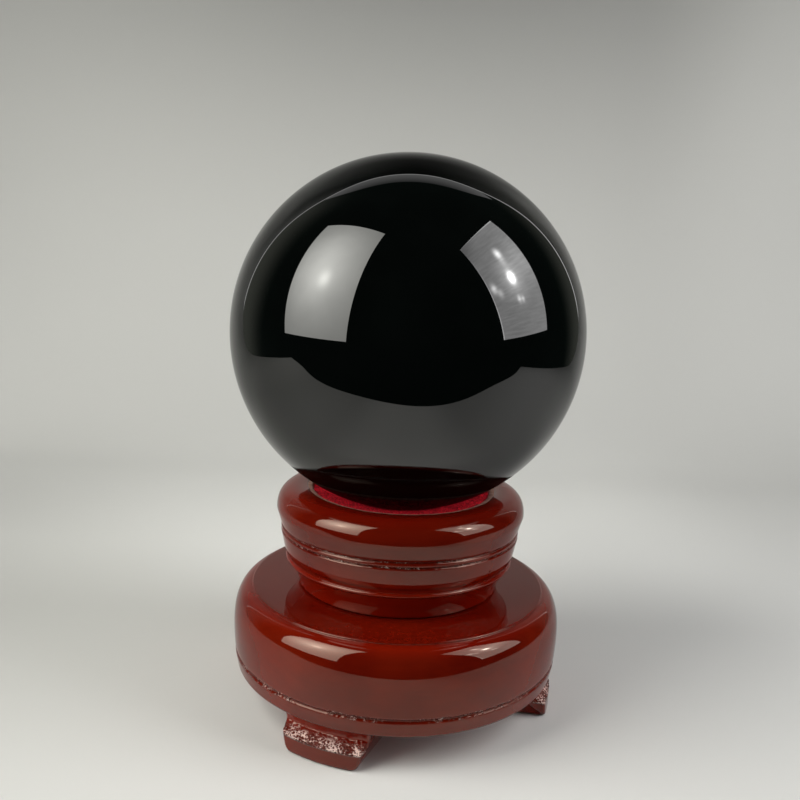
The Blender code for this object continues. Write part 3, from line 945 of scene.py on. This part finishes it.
class MakeCup(bpy.types.Operator):
    """Make the upper tier that holds the felt"""
    bl_idname = "stand.make_cup"
    bl_label = "Make cup"

    def execute(self, context):
        scene = context.scene
        cup = scene.stand_cup
        sides = (CUP_RADIUS - cup.shoulder_width * 0.8, CUP_RADIUS - cup.shoulder_width * 0.1)
        # The grooves take stain; under the band and at the cup's foot the darkening is painted shade
        stain_and_shade_hollows = [(CUP_BOTTOM + cup.groove_low, 0.42 * MM), (CUP_BOTTOM + cup.groove_high, 0.42 * MM),
                   (CUP_BOTTOM + cup.band_height, 0.6 * MM), (CUP_BOTTOM, 0.9 * MM)]
        shine = lacquered_wood("cup_lacquer", scene.stand_lacquer, sides, stain_and_shade_hollows, torn_grooves,
                               (cup.recess_radius + cup.bare_edge, CUP_TOP))
        piece = closed_mesh("turned_cup", cup_grid(cup, scene.stand_felt), shine)
        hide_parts("cup")
        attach(piece, "root")
        return {"FINISHED"}


class MakeBase(bpy.types.Operator):
    """Make the lower tier with its four feet"""
    bl_idname = "stand.make_base"
    bl_label = "Make base"

    def execute(self, context):
        scene = context.scene
        base = scene.stand_base
        sides = (BASE_RADIUS - base.disc_inset, BASE_RADIUS - base.disc_inset * 0.2)
        # The groove takes stain; on the top, where the cup stands on it, the darkening is painted shade
        stain_and_shade_hollows = [(base.foot_height + base.groove_height, 0.4 * MM), (BASE_TOP, 1.2 * MM)]
        shine = lacquered_wood("base_lacquer", scene.stand_lacquer, sides, stain_and_shade_hollows, torn_slopes)
        piece = closed_mesh("turned_base", worn_base(base), shine)
        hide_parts("base")
        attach(piece, "root")
        return {"FINISHED"}


# Stage sizes, in metres
FRONT_EDGE = -0.172           # near edge of the pale table, seen in the ball
TABLE_LEFT, TABLE_RIGHT = -0.50, 0.515
BACKDROP_PLACE = 0.46         # upright part of the backdrop behind the ball
BACKDROP_SWEEP = 0.22         # radius of the curve from table to backdrop
BACKDROP_MIDDLE = -0.085
BACKDROP_HALF = 0.585
BACKDROP_HEIGHT = 1.02
BACKDROP_CORNER = 5.0         # exponent of the backdrop's rounded outline
RIM_WIDTH = 0.020             # bright edge of the backdrop
BOARD_TOP = 1.50              # bright board above the backdrop
BOARD_MIDDLE, BOARD_HALF, BOARD_CORNER = -0.05, 0.575, 3.5
FAR_FLOOR = 6.0
FAR_FLOOR_DROP = 0.0004
MIRRORED_LIFT = 0.0004        # sheet that only glossy faces see, above the one that the camera sees


def stage_paper(stage, name="pale_paper", beside=0.0):
    """Material of the floor and backdrop: matt pale paper with a faint tooth, with painted shade high in the
    middle of the backdrop, painted light behind the work and to the right of it, and painted shade far to
    both sides; beside adds painted shade to all that lies low and to both sides."""
    made, tree, shader = principled(name, {"IOR": 1.45, "Specular IOR Level": 0.25,
                                           "Emission Strength": 1.0})
    where = tree.coordinates()
    x, y, z = tree.axes(where)
    tooth = tree.noise(where, 900.0, 2.0)
    wide = tree.noise(where, 3.0, 2.0)
    tone = tooth * 0.3 + wide * 0.7
    paper = tree.blend(tone, stage.floor, [value * 0.97 for value in stage.floor])
    # Painted shade high in the middle of the backdrop
    middle = (x * x * (-1 / 0.45 ** 2)).maths("EXPONENT")
    paper = tree.blend(z.rise(0.04, 0.58) * middle * 0.94, paper, (0.0, 0.0, 0.0))
    # Painted light low on the backdrop to the right
    painted_light_right_back = x.rise(0.17, 0.34) * y.rise(0.25, 0.42) * z.rise(0.75, 0.20) * 0.8
    paper = tree.blend(painted_light_right_back, paper, stage.painted_light_floor)
    # Painted light on the floor behind the work
    behind = y.rise(0.04, 0.12) * y.rise(0.36, 0.20) * x.rise(0.20, 0.10) * 0.8
    paper = tree.blend(behind, paper, stage.painted_light_floor)
    # Painted shade far to both sides
    painted_shade_far_sides = x.rise(-0.05, -0.24) * 0.36 + x.rise(0.12, 0.36) * 0.10
    paper = tree.blend(painted_shade_far_sides * y.rise(0.36, 0.12), paper, (0.0, 0.0, 0.0))
    # Painted shade to both sides, in the copy of the paper that only the gloss sees
    sides = (x * x) ** 0.5
    paper = tree.blend(sides.rise(0.02, 0.09) * z.rise(0.50, 0.30) * beside, paper, (0.0, 0.0, 0.0))
    # Far out, where no light falls, the floor glows as the surround does
    far = (x * x + y * y) ** 0.5
    glow = tree.blend(far.rise(0.62, 1.1), (0.0, 0.0, 0.0), stage.surround)
    feed(tree, shader, Base_Color=paper, Emission_Color=glow, Roughness=0.55 + tooth * 0.1)
    return made


def rounded_outline(turn, exponent):
    """Half width and height, as shares, of a rounded arch: cosine and sine to the power 2/exponent."""
    across = np.sign(np.cos(turn)) * np.abs(np.cos(turn)) ** (2 / exponent)
    return across, np.abs(np.sin(turn)) ** (2 / exponent)


def sweep_grid():
    """Table, curve and backdrop as one sheet: straight back, a quarter circle, straight up. Its
    width goes from the table's to an arch, half width (1 - h^p)^(1/p) at the share h of the height."""
    back = BACKDROP_PLACE - BACKDROP_SWEEP
    flat = np.linspace(FRONT_EDGE, back, 40)
    bend = np.radians(np.linspace(0, 90, 24))[1:]
    rise_up = np.linspace(BACKDROP_SWEEP, BACKDROP_HEIGHT, 90)[1:]
    y = np.concatenate([flat, back + BACKDROP_SWEEP * np.sin(bend), np.full(len(rise_up), BACKDROP_PLACE)])
    z = np.concatenate([0 * flat, BACKDROP_SWEEP * (1 - np.cos(bend)), rise_up])
    upright = rise(y, back * 0.5, BACKDROP_PLACE)
    arch = (1 - np.clip(z / BACKDROP_HEIGHT, 0, 1) ** BACKDROP_CORNER) ** (1 / BACKDROP_CORNER)
    middle = (TABLE_LEFT + TABLE_RIGHT) / 2 * (1 - upright) + BACKDROP_MIDDLE * upright
    half = (TABLE_RIGHT - TABLE_LEFT) / 2 * (1 - upright) + BACKDROP_HALF * upright * arch
    across = np.linspace(-1, 1, 48)[:, None]
    x = middle[None] + across * half[None]
    wave = 0.006 * np.sin(x * 21) * (y < FRONT_EDGE + 0.02)
    return np.stack([x, y[None] + wave, z[None] + 0 * x], axis=2)


def rim_grid():
    """Bright edge of the backdrop: a strip of even width outside its rounded outline."""
    turn = np.linspace(0, math.pi, 160)
    across, up = rounded_outline(turn, BACKDROP_CORNER)
    place_y = 0 * across + BACKDROP_PLACE - 0.004
    edges = [np.stack([BACKDROP_MIDDLE + across * (BACKDROP_HALF + wide), place_y,
                       up * (BACKDROP_HEIGHT + wide)], axis=1) for wide in (RIM_WIDTH, 0.0)]
    return np.stack(edges, axis=1)


def board_grid():
    """Board above the backdrop: upright sheet whose top corners are rounded."""
    up = np.linspace(0, 1, 40)
    half = BOARD_HALF * (1 - up ** BOARD_CORNER) ** (1 / BOARD_CORNER)
    x = BOARD_MIDDLE + np.linspace(-1, 1, 9)[:, None] * half[None]
    z = BACKDROP_HEIGHT * 0.96 + (BOARD_TOP - BACKDROP_HEIGHT * 0.96) * up
    return np.stack([x, 0 * x + BACKDROP_PLACE + 0.01, z[None] + 0 * x], axis=2)


def rim_light(tree, where):
    """Even pale light."""
    return tree.tinted((1.0, 1.0, 0.98), bpy.context.scene.stand_stage.rim_power)


def board_light(tree, where):
    """Pale light that falls off upwards."""
    z = tree.axes(where)[2]
    level = z.rise(BOARD_TOP + 0.3, BACKDROP_HEIGHT - 0.2) * bpy.context.scene.stand_stage.board_power
    return tree.tinted((1.0, 1.0, 0.99), level)


def glowing_sheet(name, grid, light):
    """Sheet that only gives light and that the camera doesn't see; light gives the colour from the
    tree and the position."""
    made = bpy.data.materials.new(name)
    tree = Tree(made)
    tree.nodes.clear()
    glow = tree.node("ShaderNodeEmission", sockets={"Color": light(tree, tree.coordinates())})
    tree.links.new(glow.socket, tree.nodes.new("ShaderNodeOutputMaterial").inputs["Surface"])
    thing = patch_mesh(name, grid, made)
    thing.visible_camera = False
    thing.visible_shadow = False
    return thing


def panel_frame(centre, width_way, down_way, size):
    """Grid of a flat panel, and a function that gives the shares of its size across and down
    from its centre."""
    width_way = np.array(width_way) / np.linalg.norm(width_way)
    down_way = np.array(down_way) / np.linalg.norm(down_way)
    u = np.linspace(-0.5, 0.5, 2)[:, None, None] * size[0] * width_way
    v = np.linspace(-0.5, 0.5, 2)[None, :, None] * size[1] * down_way

    def shares(tree, where):
        away = tree.node("ShaderNodeVectorMath", {"operation": "SUBTRACT"}, [where, tuple(centre)])
        return [tree.node("ShaderNodeVectorMath", {"operation": "DOT_PRODUCT"},
                          [away, tuple(way / reach)], "Value")
                for way, reach in ((width_way, size[0]), (down_way, size[1]))]
    return np.asarray(centre) + u + v, shares


def spots(across, down, places):
    """Sum of round bells of light: (across, down, spread, strength) in shares of the panel."""
    total = 0.0
    for at_across, at_down, spread, strength in places:
        squared = (across - at_across) ** 2 + (down - at_down) ** 2 * 1.6
        total = (squared * (-1 / spread ** 2)).maths("EXPONENT") * strength + total
    return total


def left_panel(stage):
    """Large soft panel: a broad glow with a small hot middle, and faintly mottled cloth."""
    grid, shares = panel_frame((-0.367, -0.199, 0.389), (0.773, -0.634, -0.005), (-0.21, -0.228, -0.95),
                               (0.402, 0.606))

    def light(tree, where):
        across, down = shares(tree, where)
        level = 0.82 + spots(across, down, [(0.0, -0.02, 0.45, 1.65), (0.07, 0.08, 0.08, 1.5),
                                           (-0.02, 0.08, 0.16, 0.5)])
        mottled = 0.9 + 0.2 * tree.noise(where, 9.0, 2.0)
        return tree.tinted((1.0, 1.0, 0.94), level * mottled * stage.left_power)
    return glowing_sheet("left_panel", grid, light)


def right_panel(stage):
    """Smaller panel: wrinkled reflecting cloth with a hot lamp and the lamp's smaller ghosts."""
    grid, shares = panel_frame((0.386, -0.130, 0.354), (0.241, 0.967, 0.059), (0.442, -0.072, -0.893),
                               (0.307, 0.486))

    def light(tree, where):
        across, down = shares(tree, where)
        hot = spots(across, down, [(0.0, 0.0, 0.055, 16.0), (0.0, 0.0, 0.20, 1.5),
                                   (0.03, -0.22, 0.055, 5.0),
                                   (0.02, -0.14, 0.06, 1.0), (-0.40, 0.02, 0.05, 3.0),
                                   (-0.32, 0.08, 0.05, 1.5), (-0.02, 0.18, 0.035, 2.6),
                                   (0.05, 0.19, 0.03, 2.0), (0.35, -0.10, 0.22, 0.7)])
        cloth = tree.node("ShaderNodeCombineXYZ", sockets=[across * 3.0, down * 42.0])
        wrinkled = 0.62 + 0.8 * tree.noise(cloth, 1.0, 4.0, 0.65)
        border = across.rise(-0.485, -0.495).larger(down.rise(-0.490, -0.498)) * 1.2
        shade = 1.0 - 0.45 * across.rise(-0.1, -0.5) * down.rise(-0.2, -0.5)
        level = (1.0 * shade + hot) * wrinkled + border
        return tree.tinted((1.0, 1.0, 1.0), level * stage.right_power)
    return glowing_sheet("right_panel", grid, light)


def matt_light(name, heading, climb, reach, size, tint, power):
    """Even light that only matt faces see, instead of a panel: heading from the front to the right,
    climb above the horizon and reach from the middle of the work."""
    a, e = math.radians(heading), math.radians(climb)
    centre = (reach * math.sin(a) * math.cos(e), -reach * math.cos(a) * math.cos(e),
              0.08 + reach * math.sin(e))
    down_way = (math.sin(a) * math.sin(e), -math.cos(a) * math.sin(e), -math.cos(e))
    grid = panel_frame(centre, (math.cos(a), math.sin(a), 0), down_way, size)[0]

    def light(tree, where):
        return tree.tinted(tint, power)
    glowing_sheet(name, grid, light).visible_glossy = False


def dark_room(world, stage):
    """World: dim where the gloss looks past the backdrop, a little lighter beside it, and a pale
    surround that only the camera sees."""
    tree = Tree(world)
    tree.nodes.clear()
    ray = tree.node("ShaderNodeLightPath", output="Is Camera Ray")
    x, y, z = tree.axes(tree.node("ShaderNodeTexCoord", output="Generated"))
    left = x.rise(-0.35, -0.65) * y.rise(0.15, 0.50) * 0.16
    right = x.rise(0.35, 0.65) * y.rise(0.38, 0.65) * 0.11
    room = tree.blend(left + right, stage.room, (1.0, 1.02, 0.86))
    seen = tree.blend(ray, room, stage.surround)
    glow = tree.node("ShaderNodeBackground", sockets={"Color": seen, "Strength": 1.0})
    out = tree.nodes.new("ShaderNodeOutputWorld")
    tree.links.new(glow.socket, out.inputs["Surface"])


class MakeStage(bpy.types.Operator):
    """Make the floor, backdrop, light panels, world and camera"""
    bl_idname = "stand.make_stage"
    bl_label = "Make stage"

    def execute(self, context):
        stage = context.scene.stand_stage
        paper = stage_paper(stage)
        sweep = patch_mesh("pale_sweep", sweep_grid(), paper)
        sweep.visible_glossy = False
        # A shaded copy of the floor and backdrop that only the gloss sees: painted shade in their reflections
        mirrored = patch_mesh("mirrored_sweep", sweep_grid() + [0, -MIRRORED_LIFT, MIRRORED_LIFT],
                              stage_paper(stage, "painted_shade_mirrored_paper", stage.beside))
        mirrored.visible_camera = False
        mirrored.visible_diffuse = False
        mirrored.visible_shadow = False
        corners = np.array([-FAR_FLOOR, FAR_FLOOR])
        far = np.stack(np.broadcast_arrays(corners[:, None], corners[None, :], -FAR_FLOOR_DROP), axis=2)
        far_floor = patch_mesh("far_floor", far, paper)
        far_floor.visible_glossy = False
        far_floor.visible_diffuse = False
        for name, grid, light in (("backdrop_rim", rim_grid(), rim_light),
                                  ("bright_board", board_grid(), board_light)):
            glowing_sheet(name, grid, light).visible_diffuse = False
        left_panel(stage).visible_diffuse = False
        right_panel(stage).visible_diffuse = False
        matt_light("left_matt_light", -66.0, 31.0, 0.52, (0.40, 0.60), (1.0, 1.0, 0.94), stage.left_matt)
        matt_light("right_matt_light", 76.0, 31.0, 0.49, (0.30, 0.48), (1.0, 1.0, 1.0), stage.right_matt)
        context.scene.world = context.scene.world or bpy.data.worlds.new("World")
        dark_room(context.scene.world, stage)
        lens = bpy.data.cameras.new("camera")
        lens.sensor_width = 36.0
        lens.lens = stage.lens
        camera = bpy.data.objects.new("camera", lens)
        context.scene.collection.objects.link(camera)
        camera.location = stage.camera
        camera.rotation_mode = "YXZ"
        camera.rotation_euler = (math.pi / 2 - stage.dip, 0, -stage.turn)
        camera.rotation_mode = "QUATERNION"
        camera.rotation_quaternion = camera.rotation_quaternion @ Quaternion((0, 0, 1), stage.lean)
        context.scene.camera = camera
        context.scene.view_settings.view_transform = "Standard"
        context.scene.view_settings.look = "None"
        return {"FINISHED"}


class StandPanel(bpy.types.Panel):
    """Sidebar panel with the sizes, the colours and the pieces"""
    bl_idname = "VIEW3D_PT_ball_stand"
    bl_label = "Ball stand"
    bl_space_type = "VIEW_3D"
    bl_region_type = "UI"
    bl_category = "Ball stand"

    def draw(self, context):
        layout = self.layout
        for name, settings in SETTINGS.items():
            box = layout.box()
            box.label(text=settings.__doc__)
            group = getattr(context.scene, name)
            for key in settings.__annotations__:
                box.prop(group, key)
        for operator in OPERATORS:
            layout.operator(operator.bl_idname)


SETTINGS = {"stand_ball": BallSettings, "stand_felt": FeltSettings, "stand_lacquer": LacquerSettings,
            "stand_cup": CupSettings, "stand_base": BaseSettings, "stand_stage": StageSettings}
OPERATORS = (MakeStage, MakeBase, MakeCup, MakeFelt, MakeBall)


def register():
    """Register the classes and hang the settings on the scene."""
    for kind in (*SETTINGS.values(), *OPERATORS, StandPanel):
        bpy.utils.register_class(kind)
    for name, settings in SETTINGS.items():
        setattr(bpy.types.Scene, name, PointerProperty(type=settings))


def unregister():
    """Take the settings and the classes away again."""
    for name in SETTINGS:
        delattr(bpy.types.Scene, name)
    for kind in reversed((*SETTINGS.values(), *OPERATORS, StandPanel)):
        bpy.utils.unregister_class(kind)


def main():
    """Register and build every piece."""
    register()
    for operator in OPERATORS:
        group, call = operator.bl_idname.split(".")
        getattr(getattr(bpy.ops, group), call)()


if __name__ == "__main__":
    main()
